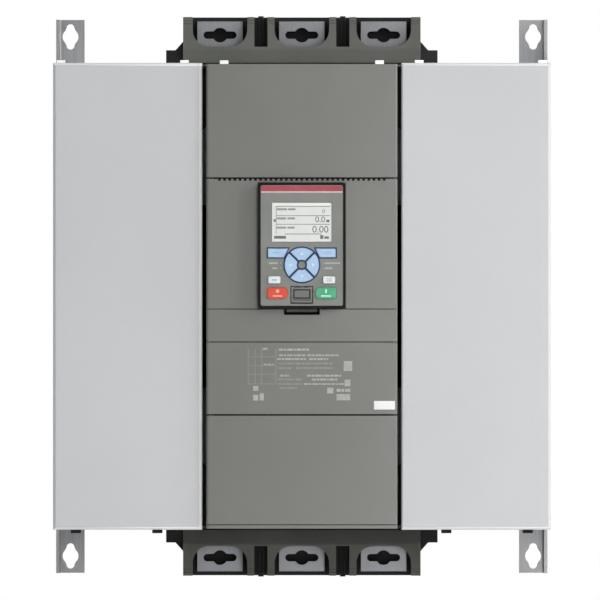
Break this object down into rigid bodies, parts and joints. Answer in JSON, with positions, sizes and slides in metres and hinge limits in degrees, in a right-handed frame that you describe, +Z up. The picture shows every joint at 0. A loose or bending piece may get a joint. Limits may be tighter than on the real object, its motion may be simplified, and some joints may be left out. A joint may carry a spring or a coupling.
{
  "type": "soft starter",
  "caption": "Wall-mounted three-phase motor soft starter with sheet steel side covers, plastic front, detachable keypad with display, and shrouded busbar terminals above and below.",
  "frame": {"origin": "centre of the back plane, midway between the four mounting holes", "axes": "+X to the right seen from the front, +Y back into the wall, +Z up; the front looks along -Y"},
  "size_m": [0.435, 0.361, 0.493],
  "materials": {
    "chassis_zinc": "dull zinc plate",
    "plate_zinc": "bright zinc plate",
    "cover_paint": "satin light grey",
    "screw_steel": "zinc plated",
    "clip_rubber": "matt black",
    "sink_aluminium": "extruded",
    "module_body": "moulded dark grey",
    "bar_tin": "tinned copper",
    "contactor_body": "moulded dark grey",
    "transformer_resin": "cast black resin",
    "base_plastic": "moulded black-grey",
    "shroud_plastic": "moulded mid grey",
    "housing_plastic": "moulded dark grey",
    "board_green": "solder mask",
    "front_plastic": "fine texture grey",
    "fan_plastic": "moulded black",
    "latch_plastic": "moulded dark grey",
    "keypad_black": "moulded black",
    "keypad_grey": "satin grey overlay",
    "display_pane": "clear pane over a grey display",
    "light_lens": "clear lens",
    "key_blue": "soft-touch pale blue",
    "key_white": "soft-touch white",
    "key_red": "soft-touch red",
    "key_green": "soft-touch green",
    "flap_rubber": "matt dark grey"
  },
  "bodies": {
    "frame": {"chassis_tray": "chassis_zinc", "top_plate": "plate_zinc", "bottom_plate": "plate_zinc", "left_side_cover": "cover_paint", "right_side_cover": "cover_paint", "cover_screws": "screw_steel", "bottom_clips": "clip_rubber", "heat_sink_left": "sink_aluminium", "heat_sink_centre": "sink_aluminium", "heat_sink_right": "sink_aluminium", "thyristor_left": "module_body", "thyristor_centre": "module_body", "thyristor_right": "module_body", "line_busbar_left": "bar_tin", "line_busbar_centre": "bar_tin", "line_busbar_right": "bar_tin", "load_busbar_left": "bar_tin", "load_busbar_centre": "bar_tin", "load_busbar_right": "bar_tin", "bypass_contactor_left": "contactor_body", "bypass_contactor_centre": "contactor_body", "bypass_contactor_right": "contactor_body", "current_transformer_left": "transformer_resin", "current_transformer_centre": "transformer_resin", "current_transformer_right": "transformer_resin", "top_terminal_base": "base_plastic", "bottom_terminal_base": "base_plastic", "top_terminal_shroud": "shroud_plastic", "bottom_terminal_shroud": "shroud_plastic", "control_housing": "housing_plastic", "control_board": "board_green", "upper_front_cover": "front_plastic", "keypad_panel": "front_plastic", "label_panel": "front_plastic", "lower_front_cover": "front_plastic", "fan_frame_left": "fan_plastic", "fan_frame_centre": "fan_plastic", "fan_frame_right": "fan_plastic"},
    "keypad": {"keypad_shell": "keypad_black", "keypad_face": "keypad_grey", "display_module": "display_pane", "key_board": "board_green", "status_lights": "light_lens"},
    "soft_key_left": {"soft_key_left": "key_blue"},
    "soft_key_right": {"soft_key_right": "key_blue"},
    "arrow_up": {"arrow_up": "key_blue"},
    "arrow_down": {"arrow_down": "key_blue"},
    "arrow_left": {"arrow_left": "key_blue"},
    "arrow_right": {"arrow_right": "key_blue"},
    "info_key": {"info_key": "key_white"},
    "remote_key": {"remote_key": "key_white"},
    "stop_key": {"stop_key": "key_red"},
    "start_key": {"start_key": "key_green"},
    "usb_flap": {"usb_flap": "flap_rubber"},
    "keypad_latch": {"keypad_latch": "latch_plastic"},
    "fan_rotor_left": {"fan_rotor_left": "fan_plastic"},
    "fan_rotor_centre": {"fan_rotor_centre": "fan_plastic"},
    "fan_rotor_right": {"fan_rotor_right": "fan_plastic"}
  },
  "joints": [
    {"name": "keypad_pull", "type": "slide", "parent": "frame", "child": "keypad", "axis": [0, -1, 0], "range_m": [0, 0.06]},
    {"name": "soft_key_left_press", "type": "slide", "parent": "keypad", "child": "soft_key_left", "axis": [0, 1, 0], "range_m": [0, 0.0008], "stiffness_N_per_m": 900},
    {"name": "soft_key_right_press", "type": "slide", "parent": "keypad", "child": "soft_key_right", "axis": [0, 1, 0], "range_m": [0, 0.0008], "stiffness_N_per_m": 900},
    {"name": "arrow_up_press", "type": "slide", "parent": "keypad", "child": "arrow_up", "axis": [0, 1, 0], "range_m": [0, 0.0008], "stiffness_N_per_m": 900},
    {"name": "arrow_down_press", "type": "slide", "parent": "keypad", "child": "arrow_down", "axis": [0, 1, 0], "range_m": [0, 0.0008], "stiffness_N_per_m": 900},
    {"name": "arrow_left_press", "type": "slide", "parent": "keypad", "child": "arrow_left", "axis": [0, 1, 0], "range_m": [0, 0.0008], "stiffness_N_per_m": 900},
    {"name": "arrow_right_press", "type": "slide", "parent": "keypad", "child": "arrow_right", "axis": [0, 1, 0], "range_m": [0, 0.0008], "stiffness_N_per_m": 900},
    {"name": "info_key_press", "type": "slide", "parent": "keypad", "child": "info_key", "axis": [0, 1, 0], "range_m": [0, 0.0008], "stiffness_N_per_m": 900},
    {"name": "remote_key_press", "type": "slide", "parent": "keypad", "child": "remote_key", "axis": [0, 1, 0], "range_m": [0, 0.0008], "stiffness_N_per_m": 900},
    {"name": "stop_key_press", "type": "slide", "parent": "keypad", "child": "stop_key", "axis": [0, 1, 0], "range_m": [0, 0.0008], "stiffness_N_per_m": 900},
    {"name": "start_key_press", "type": "slide", "parent": "keypad", "child": "start_key", "axis": [0, 1, 0], "range_m": [0, 0.0008], "stiffness_N_per_m": 900},
    {"name": "usb_flap_hinge", "type": "hinge", "parent": "keypad", "child": "usb_flap", "pos_m": [0, -0.3589, -0.00435], "axis": [1, 0, 0], "range_deg": [0, 100]},
    {"name": "keypad_latch_press", "type": "slide", "parent": "frame", "child": "keypad_latch", "axis": [0, 0, -1], "range_m": [0, 0.002], "stiffness_N_per_m": 900},
    {"name": "fan_spin_left", "type": "hinge", "parent": "frame", "child": "fan_rotor_left", "pos_m": [-0.136, -0.063, -0.18], "axis": [0, 0, 1], "continuous": true},
    {"name": "fan_spin_centre", "type": "hinge", "parent": "frame", "child": "fan_rotor_centre", "pos_m": [0, -0.063, -0.18], "axis": [0, 0, 1], "continuous": true},
    {"name": "fan_spin_right", "type": "hinge", "parent": "frame", "child": "fan_rotor_right", "pos_m": [0.136, -0.063, -0.18], "axis": [0, 0, 1], "continuous": true}
  ]
}
